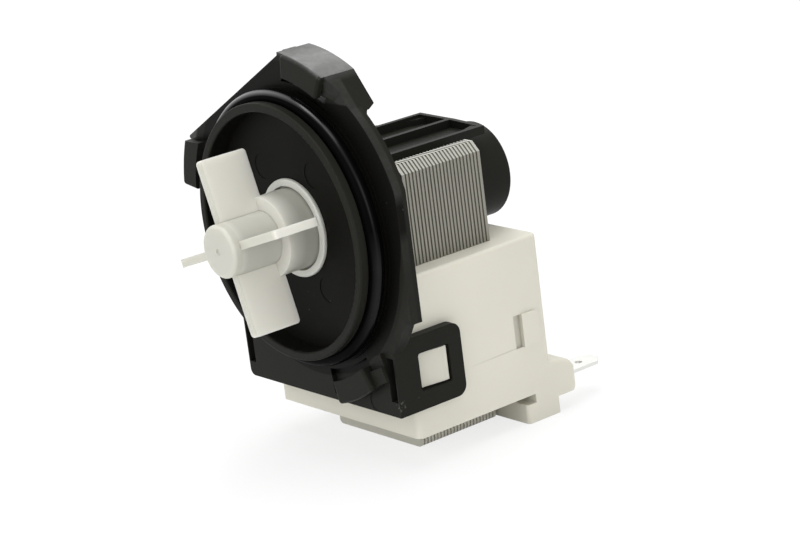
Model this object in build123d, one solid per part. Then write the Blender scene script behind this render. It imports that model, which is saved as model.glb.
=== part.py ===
from build123d import *
from math import cos, sin, radians
import os

# Synchronous dishwasher drain pump with a bayonet flange, in millimetres.
# The origin lies on the pump axis, in the plane of the spigot's front rim.
# +Y runs along the shaft to the closed end of the rotor can, +Z is up,
# and +X is to the right for someone who looks at the impeller.

# Spigot, seal ring and flange plate
spigot_radius = 29.2
spigot_wall = 2.05
spigot_height = 6.35
spigot_edge_radius = 0.4
floor_recess = 5.1
floor_thickness = 2.4
floor_rib_count = 8
floor_rib = 1.2
neck_root = 2.0
seal_section = 3.5
seal_groove_depth = 1.2
seal_groove_front = 2.05
seal_groove_slack = 0.2
shoulder_width = 2.4
plate_margin = 8.3
plate_flat = 1.9
plate_thickness = 3.0
apron_drop = 39.8
apron_corner_radius = 1.6
right_side_drop = 17.2
left_corner_angle = 157.7
left_corner_reach = 2.4
left_corner_radius = 0.4
tip_angle = 85.8
tip_radius = 1.5

# Bayonet hooks, with the angles counted anticlockwise from +X
hook_setback = 2.5
hook_width = 5.25
hook_reach = 3.15
hook_lip = 1.6
hook_outer_wall = 1.6
hook_corner_radius = 0.9
hook_edge_radius = 0.7
left_hook_start = 151.0
left_hook_span = 21.0
left_slot_span = 18.6
top_hook_start = 62.5
top_hook_span = 20.0
top_wall_setback = 1.0
lower_hook_start = 284.0
lower_hook_span = 20.5
lower_slot_start = 277.0
lower_slot_span = 26.0
lower_slot_depth = 1.2
slot_setback = 1.2
top_slot_end = 89.5

# Deep block beside the top hook, with its lead-in ramp
stop_span = 12.5
stop_root = 1.4
stop_reach = 1.7
stop_ramp = 4.6
stop_depth = 3.4

# Detent beside the lower hook
detent_angle = 308.0
detent_setback = 1.6
detent_tilt = 23.0
detent_width = 4.8
detent_height = 3.5
detent_reach = 1.8
detent_step_height = 2.7
detent_step_reach = 0.9
detent_overlap = 0.2
ledge_span = 5.5

# Rotor can
can_radius = 11.2
can_bore = 10.0
can_neck_radius = 12.8
can_mouth_radius = 10.4
can_mouth_depth = 8.6
can_length = 49.6
can_end_wall = 1.5
can_edge_radius = 0.8
seat_wall = 1.4
seat_clearance = 0.2

# Key tray on top of the can
tray_half_width = 11.3
tray_floor_height = 10.9
tray_top_height = 13.4
tray_right_height = 12.85
tray_left_height = 13.6
tray_length = 43.0
tray_wall = 1.2
tray_floor = 0.6
tray_rib = 1.4
tray_ramp_length = 7.0
tray_ramp_width = 2.6

# Snap loops that hold the coil housing
loop_length = 18.9
loop_thickness = 2.3
loop_top_drop = 22.9
loop_corner_radius = 2.5
window_start = 6.6
window_length = 8.65
window_top_drop = 27.0
window_height = 8.7
window_corner_radius = 0.6
relief_width = 2.25
relief_skin = 0.4
relief_overlap = 0.7
corner_relief_radius = 0.6

# Marks of the mould on the cover
pin_mark_radius = 3.0
pin_mark_depth = 0.12
floor_mark_side = 9.1
floor_mark_height = 13.0
apron_mark_radius = 2.4
apron_mark_side = 19.9
apron_mark_drop = 37.4

# Bearing cap in the mouth of the can
cap_radius = 11.2
cap_lip = 0.85
cap_collar_wall = 1.6
cap_depth = 8.0
cap_recess_depth = 1.6
cap_front_wall = 1.8
cap_clearance = 0.1
cap_edge_radius = 0.4
cap_shaft_gap = 0.7
cap_seal_section = 1.5
cap_seal_setback = 2.2
cap_seal_clearance = 0.05

# Shaft, bearings and their rubber mounts
shaft_radius = 1.5
running_clearance = 0.05
bearing_radius = 3.6
bearing_length = 4.8
mount_radius = 5.2
lip_seal_radius = 3.4
lip_seal_length = 1.2
washer_radius = 3.2
washer_thickness = 0.6
washer_play = 0.3
shaft_tip_reach = 11.2
shaft_end_gap = 0.3
shaft_chamfer = 0.25

# Rotor
magnet_radius = 9.3
magnet_length = 26.0
magnet_bore = 4.0
magnet_chamfer = 0.4
carrier_flange_radius = 8.9
carrier_flange = 1.4
carrier_boss_radius = 3.4

# Impeller
impeller_radius = 20.0
blade_count = 4
blade_turn = 17.5
blade_thickness = 1.9
blade_length = 12.0
blade_gap = 1.85
blade_corner_radius = 0.9
hub_radius = 6.0
hub_nose = 2.0
hub_edge_radius = 0.8
skirt_radius = 9.1
skirt_wall = 1.4
skirt_overlap = 1.4
skirt_gap = 0.7
coupling_depth = 6.6
gate_mark_radius = 0.8
gate_mark_depth = 0.25

# Loose dog coupling between the shaft and the impeller
dog_count = 2
dog_sector = 36.0
dog_core_sector = 22.0
dog_free_turn = 102.0
dog_hub_radius = 3.4
dog_length = 5.2
dog_radial_clearance = 0.35
dog_axial_clearance = 0.45
dog_overlap = 0.5
buffer_setback = 0.3

# Laminated core
core_length = 22.35
lamination_count = 23
lamination_groove = 0.42
lamination_groove_depth = 0.3
core_front_gap = 11.15
pole_half_width = 20.3
pole_top_height = 12.4
pole_chamfer = 2.1
pole_top_width = 2.5
pole_tip = 7.2
pole_bore_clearance = 0.2
key_clearance = 0.2
limb_inner = 5.2
limb_outer = 15.0
yoke_height = 8.2
yoke_corner_radius = 1.0
dovetail_width = 3.6
dovetail_flare = 0.7
dovetail_depth = 2.4

# Coil housing
housing_top_drop = 10.5
housing_bottom_drop = 47.2
housing_wall = 1.6
housing_front_space = 1.15
housing_rear_space = 3.1
housing_corner_radius = 1.6
housing_edge_radius = 0.7
saddle_clearance = 0.3
slot_clearance = 0.2
catch_proud = 1.9
catch_lead = 1.0
catch_ramp = 6.4
catch_clearance = 0.45
loop_clearance = 0.15
pad_start = 32.4
pad_length = 4.8
pad_corner_radius = 1.5
pad_top_drop = 27.6
pad_height = 7.8
pad_proud = 0.5
pad_recess = 0.9
pad_recess_width = 2.2
block_width = 10.6
block_rise = 6.6
block_sink = 2.7
block_length = 6.35
block_slope = 1.6
block_shoulder = 1.15
block_bevel = 1.8
block_foot = 0.55
block_edge_radius = 0.9
leg_width = 15.0
leg_length = 9.4
leg_neck_length = 6.7
leg_neck_height = 2.1
leg_overhang = 1.0
leg_edge_radius = 1.0
base_thickness = 1.6
base_clearance = 0.15

# Bobbins and windings
bobbin_clearance = 0.15
bobbin_wall = 1.0
bobbin_flange = 1.2
winding_thickness = 3.7
winding_corner_radius = 3.2
flange_reach = 0.5
bobbin_top_gap = 0.3
middle_gap = 0.4

# Terminals, leads and thermal cutout
tab_side_wall = 1.35
tab_width = 6.3
tab_thickness = 0.8
tab_reach = 10.75
tab_rise = 1.0
tab_point = 2.0
tab_hole_radius = 0.9
tab_hole_setback = 5.2
tail_width = 2.6
tail_rise = 4.2
tail_inset = 0.9
tail_clearance = 0.4
lead_radius = 0.55
lead_bend_radius = 1.2
lead_drop = 8.0
lead_overlap = 1.0
link_rise = 6.0
link_end = 6.0
cutout_length = 11.0
cutout_height = 14.0
cutout_thickness = 3.2
cutout_drop = 21.0
cutout_clearance = 0.75
cutout_edge_radius = 0.8

# Radii and widths of the cover that follow from others
shoulder_radius = spigot_radius + shoulder_width
plate_radius = spigot_radius + plate_margin
plate_half_width = plate_radius - plate_flat
hook_inner_radius = plate_radius - hook_setback
hook_outer_radius = hook_inner_radius + hook_width
slot_radius = shoulder_radius + slot_setback

# Places along the axis that several pieces share
plate_front = spigot_height
plate_rear = plate_front + plate_thickness
seal_groove_rear = seal_groove_front + seal_section + seal_groove_slack
floor_front = floor_recess
floor_rear = floor_front + floor_thickness
hook_front = plate_front - hook_reach
can_end = plate_rear + can_length
blade_rear = -blade_gap
blade_front = blade_rear - blade_length
hub_front = blade_front - hub_nose
skirt_front = blade_rear - skirt_overlap
cap_front = floor_front - cap_lip
cap_rear = cap_front + cap_depth
cap_recess_floor = cap_front + cap_recess_depth
skirt_rear = cap_recess_floor - skirt_gap
coupling_front = skirt_rear - coupling_depth
bearing_front = cap_recess_floor + cap_front_wall
bearing_rear = bearing_front + bearing_length
core_front = plate_rear + core_front_gap
core_rear = core_front + core_length
core_middle = (core_front + core_rear) / 2
magnet_front = core_middle - magnet_length / 2
magnet_rear = core_middle + magnet_length / 2
rear_bearing_rear = can_end - can_end_wall - washer_thickness
rear_bearing_front = rear_bearing_rear - bearing_length
winding_start = bobbin_clearance + bobbin_wall
winding_reach = winding_start + winding_thickness
housing_front = core_front - winding_reach - flange_reach - housing_front_space - housing_wall
housing_rear = core_rear + winding_reach + housing_rear_space + housing_wall
block_rear = housing_rear + block_length

# Widths and heights of the coil unit that follow from others
housing_half_width = limb_outer + winding_reach + cutout_thickness + cutout_clearance + housing_wall
loop_inner = housing_half_width + loop_clearance
loop_outer = loop_inner + loop_thickness
tab_centre = housing_half_width - tab_side_wall - tab_width / 2
pole_bore = can_radius + pole_bore_clearance
ridge_inner = pole_half_width - pole_chamfer - pole_top_width
yoke_top = -housing_bottom_drop + base_thickness
block_top_drop = housing_bottom_drop - block_rise
block_bottom_drop = housing_bottom_drop + block_sink
tab_drop = housing_bottom_drop - tab_rise
yoke_bottom_drop = yoke_height - yoke_top
lamination_pitch = core_length / lamination_count


def slab(profile, front, rear):
    """A flat profile in the X-Z plane, carried along Y from front to rear."""
    return extrude(Plane.XZ.offset(-rear) * profile, rear - front)


def disc(radius, front, rear):
    """A round bar on the pump axis."""
    return slab(Circle(radius), front, rear)


def ring(outer, inner, front, rear):
    """A tube on the pump axis."""
    return slab(Circle(outer) - Circle(inner), front, rear)


def rectangle(left, right, low, high):
    """A rectangle in the X-Z plane, by its four sides."""
    return Pos((left + right) / 2, (low + high) / 2) * Rectangle(right - left, high - low)


def block(left, right, front, rear, low, high):
    """A box by its six sides."""
    return slab(rectangle(left, right, low, high), front, rear)


def polar(radius, angle):
    """A point of the X-Z plane by its distance from the axis and its angle from +X."""
    return Vector(radius * cos(radians(angle)), radius * sin(radians(angle)))


def sector(inner, outer, start, span):
    """A slice of a ring in the X-Z plane, with its angles from +X."""
    edges = [
        CenterArc((0, 0), outer, start, span),
        Line(polar(outer, start + span), polar(inner, start + span)),
        CenterArc((0, 0), inner, start, span),
        Line(polar(inner, start), polar(outer, start)),
    ]
    return make_face(edges)


def other_side(solid):
    """The same solid, mirrored to the pump's left side."""
    return mirror(solid, about=Plane.YZ)


def plate_outline():
    """The flange plate: disc, apron, straight upper left edge and the gap behind the top hook."""
    round_part = Circle(plate_radius) & Rectangle(2 * plate_half_width, 4 * plate_radius)
    right_side = rectangle(0, plate_half_width, -right_side_drop, 0)
    apron = rectangle(-loop_outer, loop_outer, -apron_drop, 0)
    corner = left_corner()
    tip = polar(hook_outer_radius, tip_angle)
    hook_corner = polar(hook_outer_radius, top_hook_start + top_hook_span)
    slot_corner = polar(slot_radius, top_slot_end)
    outward = Vector(corner.Y - tip.Y, tip.X - corner.X).normalized() * hook_width * 2
    beyond = make_face(Polyline(corner, tip, tip + outward, corner + outward, close=True))
    top_slot = sector(slot_radius, 2 * plate_radius, top_hook_start, top_slot_end - top_hook_start)
    bridge = make_face(Polyline((0, 0), corner, tip, hook_corner, slot_corner, close=True))
    outline = round_part + right_side + apron - beyond - top_slot + bridge
    outline = fillet(outline.vertices().sort_by_distance(tip)[:1], tip_radius)
    return fillet(outline.vertices().sort_by_distance(corner)[:1], left_corner_radius)


def left_corner():
    """Where the plate's straight edge meets the left hook."""
    return polar(hook_outer_radius + left_corner_reach, left_corner_angle)


def hook_body(start, span, front, rear):
    """A curved bar on the flange with rounded corners and a rounded front edge, sharp on its inner side."""
    face = sector(hook_inner_radius, hook_outer_radius, start, span)
    corners = face.vertices().filter_by(lambda v: Vector(v.X, v.Y).length > hook_outer_radius - 0.01)
    body = slab(fillet(corners, hook_corner_radius), front, rear)
    front_edges = body.faces().sort_by(Axis.Y)[0].outer_wire().edges()
    outer_edges = front_edges.filter_by(
        lambda e: Vector(e.center().X, e.center().Z).length > hook_inner_radius + hook_edge_radius
    )
    return fillet(outer_edges, hook_edge_radius)


def hook_slot(start, span, rear):
    """The space behind a hook's lip, which goes on into the plate."""
    face = sector(slot_radius, hook_outer_radius - hook_outer_wall, start, span)
    return slab(face, hook_front + hook_lip, rear)


def top_stop():
    """The deep block beside the top hook: flat outer side, ramp in front, curved foot behind."""
    near = polar(hook_outer_radius, top_hook_start)
    far = polar(plate_radius, top_hook_start - stop_span)
    along = far - near
    length = along.length
    front = plate_front - stop_reach
    rear = plate_rear + stop_depth
    outline = [
        Polyline(
            (length, rear), (-stop_root, rear), (-stop_root, front), (0, front),
            (stop_ramp, plate_front), (length + stop_depth, plate_front), (length + stop_depth, plate_rear),
        ),
        CenterArc((length + stop_depth, rear), stop_depth, 180, 90),
    ]
    plane = Plane(origin=(near.X, 0, near.Y), x_dir=(along.X, 0, along.Y), z_dir=(-along.Y, 0, along.X))
    body = extrude(plane * make_face(outline), -2 * hook_width)
    return body & ring(hook_outer_radius, hook_inner_radius, 0, rear + 1)


def top_wall():
    """The curved wall that runs back from the top hook's lip, as deep as the block beside it."""
    inner = hook_outer_radius - hook_outer_wall
    face = sector(inner, hook_outer_radius, top_hook_start, tip_angle - top_hook_start - top_wall_setback)
    return slab(face, hook_front + hook_edge_radius, plate_rear + stop_depth)


def left_hook_space():
    """Everything below the level of the plate's left corner, where the left hook ends."""
    return block(-2 * hook_outer_radius, 0, 0, plate_rear + 1, 0, left_corner().Y)


def hooks():
    """The three hooks with the deep block, the detent and its ledge."""
    left = hook_body(left_hook_start, left_hook_span, hook_front, plate_rear) & left_hook_space()
    top = hook_body(top_hook_start, top_hook_span, hook_front, hook_front + hook_lip)
    lower = hook_body(lower_hook_start, lower_hook_span, hook_front, plate_rear)
    ledge_start = lower_hook_start + lower_hook_span - 1
    ledge_inner = hook_outer_radius - hook_outer_wall
    ledge = slab(
        sector(ledge_inner, hook_outer_radius, ledge_start, ledge_span),
        plate_front - detent_reach, plate_front + 1,
    )
    return left + top + top_wall() + top_stop() + lower + ledge + detent()


def detent():
    """The small block beside the lower hook, with its lower step towards the spigot."""
    centre = polar(hook_outer_radius - detent_setback, detent_angle)
    place = Pos(centre.X, centre.Y) * Rot(0, 0, detent_tilt)
    block_face = place * Rectangle(detent_width, detent_height)
    step_middle = (detent_height + detent_step_height) / 2
    step_face = place * Pos(0, step_middle) * Rectangle(detent_width, detent_step_height + detent_overlap)
    step = slab(step_face, plate_front - detent_step_reach, plate_front + 1)
    return step + slab(block_face, plate_front - detent_reach, plate_front + 1)


def hook_slots():
    """The slots behind the left hook, which goes through the plate, and the lower hook, which doesn't."""
    left = hook_slot(left_hook_start, left_slot_span, plate_rear + 1) & left_hook_space()
    return left + hook_slot(lower_slot_start, lower_slot_span, plate_front + lower_slot_depth)


def pin_mark(radius, x, z, face):
    """The shallow round print of an ejector pin in a face of the cover."""
    return slab(Pos(x, z) * Circle(radius), face - 1, face + pin_mark_depth)


def pin_marks():
    """The prints on the dish floor and the one on the apron."""
    marks = pin_mark(apron_mark_radius, apron_mark_side, -apron_mark_drop, plate_front)
    for x in (-floor_mark_side, floor_mark_side):
        for z in (-floor_mark_height, floor_mark_height):
            marks += pin_mark(pin_mark_radius, x, z, floor_front)
    return marks


def snap_loop():
    """The right loop: a rounded plate along the housing with a window for its catch."""
    arm = block(loop_inner, loop_outer, plate_front, plate_front + loop_length, -apron_drop, -loop_top_drop)
    rear_edges = arm.edges().filter_by(Axis.X).group_by(Axis.Y)[-1]
    arm = fillet(rear_edges, loop_corner_radius)
    window = block(
        loop_inner - 1, loop_outer + 1,
        plate_front + window_start, plate_front + window_start + window_length,
        -window_top_drop - window_height, -window_top_drop,
    )
    window = fillet(window.edges().filter_by(Axis.X), window_corner_radius)
    return arm - window


def relief_slot():
    """The tool slot through the flange in front of a loop's window."""
    return block(
        loop_outer - relief_skin - relief_width, loop_outer - relief_skin,
        plate_front - 1, plate_rear + 1,
        -window_top_drop - window_height - relief_overlap, -window_top_drop + relief_overlap,
    )


def corner_relief():
    """The small round hole where a loop's upper edge meets the plate."""
    axis = Plane(origin=(loop_inner - 1, plate_rear, -loop_top_drop), z_dir=(1, 0, 0))
    return extrude(axis * Circle(corner_relief_radius), loop_thickness + 2)


def lower_left_corner():
    """What the rounding takes off the lower left corner of the apron and its loop."""
    x = -loop_outer + apron_corner_radius
    z = -apron_drop + apron_corner_radius
    square = rectangle(-loop_outer - 1, x, -apron_drop - 1, z)
    return slab(square - Pos(x, z) * Circle(apron_corner_radius), 0, plate_front + loop_length + 1)


def key_tray():
    """The open tray on the can, which lies between the two pole tips."""
    rear = plate_rear + tray_length
    profile = make_face(Polyline(
        (-tray_half_width, tray_floor_height), (tray_half_width, tray_floor_height),
        (tray_half_width, tray_right_height), (tray_rib / 2, tray_top_height),
        (-tray_rib / 2, tray_top_height), (-tray_half_width, tray_left_height),
        close=True,
    ))
    body = slab(profile, plate_front + 1, rear)
    pocket_width = tray_half_width - tray_wall - tray_rib / 2
    for side in (-1, 1):
        middle = side * (tray_rib / 2 + pocket_width / 2)
        body -= block(
            middle - pocket_width / 2, middle + pocket_width / 2,
            plate_rear, rear - tray_wall,
            tray_floor_height + tray_floor, tray_top_height + 1,
        )
    inside = tray_half_width - tray_wall / 2
    corner = make_face(Polyline(
        (inside, rear - tray_ramp_length), (inside, rear - tray_wall / 2),
        (inside - tray_ramp_width, rear - tray_wall / 2), close=True,
    ))
    ramp = extrude(Pos(0, 0, tray_floor_height) * corner, tray_right_height - tray_floor_height)
    return body + ramp + other_side(ramp)


def spigot():
    """The round collar in front of the plate, with its rounded rim and the groove for the seal."""
    body = disc(spigot_radius, 0, plate_front + 1) - disc(spigot_radius - spigot_wall, -1, floor_front)
    rim_edges = body.faces().sort_by(Axis.Y)[0].edges()
    body = fillet(rim_edges, spigot_edge_radius)
    body -= ring(
        spigot_radius + 1, spigot_radius - seal_groove_depth,
        seal_groove_front, seal_groove_rear,
    )
    return body + disc(shoulder_radius, seal_groove_rear, plate_front)


def floor_pocket():
    """The ring-shaped pocket behind the dish floor, with its stiffening ribs."""
    pocket = ring(spigot_radius - spigot_wall, can_neck_radius + neck_root, floor_rear, plate_rear + 1)
    rib = block(-floor_rib / 2, floor_rib / 2, floor_rear, plate_rear, 0, spigot_radius)
    for index in range(floor_rib_count):
        pocket -= Rot(0, (index + 0.5) * 360 / floor_rib_count, 0) * rib
    return pocket


def pump_cover():
    """The black moulding: flange, spigot, rotor can, hooks, tray and snap loops in one piece."""
    cover = slab(plate_outline(), plate_front, plate_rear) + hooks() + spigot()
    cover -= hook_slots()
    cover += disc(can_neck_radius, floor_front, core_front - 1)
    cover += disc(can_radius, plate_front, can_end)
    cover += key_tray() + snap_loop() + other_side(snap_loop())
    cover -= floor_pocket()
    cover -= disc(can_mouth_radius, floor_front - 1, floor_front + can_mouth_depth)
    cover -= disc(can_bore, floor_front, can_end - can_end_wall)
    cover -= relief_slot() + other_side(relief_slot())
    cover -= corner_relief() + other_side(corner_relief())
    cover -= lower_left_corner() + pin_marks()
    rim_edges = cover.edges().filter_by(GeomType.CIRCLE).filter_by(
        lambda e: abs(e.radius - can_radius) < 0.01 and e.center().Y > can_end - 0.01
    )
    cover = fillet(rim_edges, can_edge_radius)
    return cover + ring(
        mount_radius + seat_wall, mount_radius,
        rear_bearing_front - seat_clearance, can_end - can_end_wall + 1,
    )


def spigot_seal():
    """The O-ring in the spigot's groove."""
    section = seal_section / 2
    middle = seal_groove_front + (seal_section + seal_groove_slack) / 2
    path_radius = spigot_radius - seal_groove_depth + section
    return Pos(0, middle, 0) * Rot(90, 0, 0) * Torus(path_radius, section)


def bearing_cap():
    """The pale cap that closes the can and holds the front bearing."""
    body_radius = can_mouth_radius - cap_clearance
    cap = disc(cap_radius, cap_front, floor_front) + disc(body_radius, floor_front, cap_rear)
    cap -= disc(cap_radius - cap_collar_wall, cap_front - 1, cap_recess_floor)
    cap -= disc(shaft_radius + cap_shaft_gap, cap_front, cap_rear)
    cap -= disc(lip_seal_radius, cap_front, cap_recess_floor + lip_seal_length)
    cap -= disc(mount_radius, bearing_front, cap_rear + 1)
    groove = cap_seal_section / 2 + cap_seal_clearance
    groove_middle = cap_rear - cap_seal_setback
    groove_radius = can_mouth_radius - cap_seal_section - cap_seal_clearance
    cap -= ring(body_radius + 1, groove_radius, groove_middle - groove, groove_middle + groove)
    lip = cap.edges().filter_by(GeomType.CIRCLE).filter_by(
        lambda e: abs(e.radius - cap_radius) < 0.01 and e.center().Y < cap_front + 0.01
    )
    return fillet(lip, cap_edge_radius)


def cap_seal():
    """The small O-ring between the cap and the can's mouth."""
    section = cap_seal_section / 2
    path_radius = can_mouth_radius - section - cap_seal_clearance / 2
    return Pos(0, cap_rear - cap_seal_setback, 0) * Rot(90, 0, 0) * Torus(path_radius, section)


def lip_seal():
    """The rubber ring round the shaft in the cap's front wall."""
    inner = shaft_radius + running_clearance
    return ring(lip_seal_radius, inner, cap_recess_floor, cap_recess_floor + lip_seal_length)


def bearing(front):
    """A plain bush for the shaft."""
    return ring(bearing_radius, shaft_radius + running_clearance, front, front + bearing_length)


def bearing_mount(front):
    """The rubber sleeve that holds a bush."""
    return ring(mount_radius, bearing_radius, front, front + bearing_length)


def thrust_washer(front):
    """A loose washer on the shaft."""
    return ring(washer_radius, shaft_radius + running_clearance, front, front + washer_thickness)


def rotor_shaft():
    """The steel shaft, from inside the impeller hub to the rear bush."""
    shaft = disc(shaft_radius, coupling_front - shaft_tip_reach, rear_bearing_rear - shaft_end_gap)
    ends = shaft.edges().filter_by(GeomType.CIRCLE)
    return chamfer(ends, shaft_chamfer)


def rotor_magnet():
    """The ring magnet."""
    magnet = ring(magnet_radius, magnet_bore, magnet_front, magnet_rear)
    rims = magnet.edges().filter_by(GeomType.CIRCLE).filter_by(lambda e: e.radius > magnet_bore + 1)
    return chamfer(rims, magnet_chamfer)


def rotor_carrier():
    """The moulded sleeve that holds the magnet on the shaft, with a flange and a boss at each end."""
    front_boss = bearing_rear + washer_play + washer_thickness + washer_play
    rear_boss = rear_bearing_front - washer_play - washer_thickness - washer_play
    carrier = disc(magnet_bore, magnet_front, magnet_rear)
    carrier += disc(carrier_flange_radius, magnet_front - carrier_flange, magnet_front)
    carrier += disc(carrier_flange_radius, magnet_rear, magnet_rear + carrier_flange)
    carrier += disc(carrier_boss_radius, front_boss, magnet_front)
    carrier += disc(carrier_boss_radius, magnet_rear, rear_boss)
    return carrier - disc(shaft_radius, front_boss - 1, rear_boss + 1)


def dog_sectors(inner, outer, width, middle):
    """The coupling's sectors, spread evenly round the shaft."""
    profile = Sketch()
    for index in range(dog_count):
        profile += sector(inner, outer, middle + index * 360 / dog_count - width / 2, width)
    return profile


def drive_dog():
    """The dog pressed on the shaft, whose vanes turn the impeller."""
    front = coupling_front + dog_axial_clearance
    outer = skirt_radius - skirt_wall - dog_radial_clearance
    dog = disc(dog_hub_radius, front, front + dog_length)
    vanes = dog_sectors(dog_hub_radius - dog_overlap, outer, dog_core_sector, 0)
    dog += slab(vanes, front, front + dog_length)
    return dog - disc(shaft_radius, front - 1, front + dog_length + 1)


def dog_buffers():
    """The rubber pads on both flanks of each vane."""
    front = coupling_front + dog_axial_clearance
    outer = skirt_radius - skirt_wall - dog_radial_clearance
    flank = (dog_sector - dog_core_sector) / 2
    profile = Sketch()
    for index in range(dog_count):
        middle = index * 360 / dog_count
        profile += sector(dog_hub_radius, outer, middle + dog_core_sector / 2, flank)
        profile += sector(dog_hub_radius, outer, middle - dog_core_sector / 2 - flank, flank)
    return slab(profile, front + buffer_setback, front + dog_length - buffer_setback)


def blade():
    """One flat blade with rounded tip corners, pointing along +X."""
    face = make_face(Polyline(
        (0, blade_front), (impeller_radius, blade_front), (impeller_radius, blade_rear), (0, blade_rear),
        close=True,
    ))
    tips = face.vertices().filter_by(lambda v: v.X > impeller_radius - 0.1)
    face = fillet(tips, blade_corner_radius)
    return extrude(face, blade_thickness / 2, both=True)


def impeller():
    """The four-bladed wheel with its hub and the skirt that hides the coupling."""
    wheel = disc(hub_radius, hub_front, skirt_front) + disc(skirt_radius, skirt_front, skirt_rear)
    for index in range(blade_count):
        wheel += Rot(0, -blade_turn - index * 360 / blade_count, 0) * blade()
    inner = skirt_radius - skirt_wall
    wheel -= disc(inner, coupling_front, skirt_rear + 1)
    bore_front = coupling_front - shaft_tip_reach - dog_overlap
    wheel -= disc(shaft_radius + running_clearance, bore_front, coupling_front + 1)
    step = 360 / dog_count
    play = (step - 2 * dog_sector - dog_free_turn) / 2
    middle = -(dog_sector + play)
    dogs = dog_sectors(dog_hub_radius + dog_radial_clearance, inner + dog_overlap, dog_sector, middle)
    wheel += slab(dogs, coupling_front - dog_overlap, coupling_front + dog_length)
    nose = wheel.edges().filter_by(GeomType.CIRCLE).filter_by(
        lambda e: abs(e.radius - hub_radius) < 0.01 and e.center().Y < hub_front + 0.01
    )
    wheel = fillet(nose, hub_edge_radius)
    return wheel - disc(gate_mark_radius, hub_front - 1, hub_front + gate_mark_depth)


def lamination_grooves(profile_outer, profile_inner):
    """Thin rings between two outlines, one at each joint between laminations."""
    skin = profile_outer - profile_inner
    grooves = []
    for index in range(1, lamination_count):
        middle = core_front + index * lamination_pitch
        grooves.append(slab(skin, middle - lamination_groove / 2, middle + lamination_groove / 2))
    return grooves


def pole_head():
    """The outline of the right pole above the housing, without its bore: outer ridge and low tip."""
    tip_height = tray_floor_height - key_clearance
    return make_face(Polyline(
        (limb_inner, -housing_top_drop),
        (pole_half_width, -housing_top_drop),
        (pole_half_width, pole_top_height - pole_chamfer),
        (pole_half_width - pole_chamfer, pole_top_height),
        (ridge_inner, pole_top_height),
        (ridge_inner, tip_height),
        (pole_tip, tip_height),
        (limb_inner, 0),
        close=True,
    ))


def dovetail(low, clearance):
    """The tongue under a limb, wider at its foot."""
    middle = (limb_inner + limb_outer) / 2
    neck = dovetail_width / 2 + clearance
    return make_face(Polyline(
        (middle - neck, low + dovetail_depth),
        (middle - neck - dovetail_flare, low),
        (middle + neck + dovetail_flare, low),
        (middle + neck, low + dovetail_depth),
        close=True,
    ))


def pole():
    """The right half of the upper core: pole head, limb and dovetail, grooved as laminations."""
    head = pole_head() - Circle(pole_bore)
    limb = rectangle(limb_inner, limb_outer, yoke_top, -housing_top_drop + 1) - Circle(pole_bore)
    tongue = dovetail(yoke_top - dovetail_depth, 0)
    solid = slab(head + limb + tongue, core_front, core_rear)
    depth = lamination_groove_depth
    outer = rectangle(ridge_inner, pole_half_width + 1, -housing_top_drop - 1, pole_top_height + 1)
    inner = make_face(Polyline(
        (ridge_inner - 1, -housing_top_drop - 2),
        (pole_half_width - depth, -housing_top_drop - 2),
        (pole_half_width - depth, pole_top_height - pole_chamfer),
        (pole_half_width - pole_chamfer, pole_top_height - depth),
        (ridge_inner - 1, pole_top_height - depth),
        close=True,
    ))
    return solid - lamination_grooves(outer, inner)


def core_yoke():
    """The laminated bar that joins the two limbs below the housing."""
    outline = rectangle(-limb_outer, limb_outer, -yoke_bottom_drop, yoke_top)
    corners = outline.vertices().filter_by(lambda v: v.Y < -yoke_bottom_drop + 0.1)
    outline = fillet(corners, yoke_corner_radius)
    tongue = dovetail(yoke_top - dovetail_depth, 0)
    solid = slab(outline - tongue - mirror(tongue, about=Plane.YZ), core_front, core_rear)
    depth = lamination_groove_depth
    inner = rectangle(-limb_outer + depth, limb_outer - depth, -yoke_bottom_drop + depth, yoke_top + 1)
    corners = inner.vertices().filter_by(lambda v: v.Y < -yoke_bottom_drop + depth + 0.1)
    inner = fillet(corners, yoke_corner_radius - depth)
    outer = rectangle(-limb_outer - 1, limb_outer + 1, -yoke_bottom_drop - 1, yoke_top)
    return solid - lamination_grooves(outer, inner)


def limb_hole(clearance, front, rear, low, high):
    """The space round the right limb."""
    return block(
        limb_inner - clearance, limb_outer + clearance,
        front - clearance, rear + clearance, low, high,
    )


def housing_catch():
    """The right catch: a wedge that stands in the loop's window."""
    side = housing_half_width
    front = plate_front + window_start + catch_clearance
    rear = plate_front + window_start + window_length - catch_clearance
    profile = make_face(Polyline(
        (side - 1, front), (side + catch_lead, front), (side + catch_proud, front + catch_ramp),
        (side + catch_proud, rear), (side - 1, rear), close=True,
    ))
    low = -window_top_drop - window_height + catch_clearance
    height = window_height - 2 * catch_clearance
    return extrude(Pos(0, 0, low) * profile, height)


def latch_pad():
    """The right side's raised pad behind its narrow recess."""
    side = housing_half_width
    front = housing_front + pad_start
    low = -pad_top_drop - pad_height
    pad = block(side - 1, side + pad_proud, front, front + pad_length, low, -pad_top_drop)
    rear_edges = pad.edges().filter_by(Axis.X).group_by(Axis.Y)[-1]
    return fillet(rear_edges, pad_corner_radius)


def latch_recess():
    """The shallow recess in front of the pad."""
    side = housing_half_width
    rear = housing_front + pad_start
    low = -pad_top_drop - pad_height
    return block(side - pad_recess, side + 1, rear - pad_recess_width, rear, low, -pad_top_drop)


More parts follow.
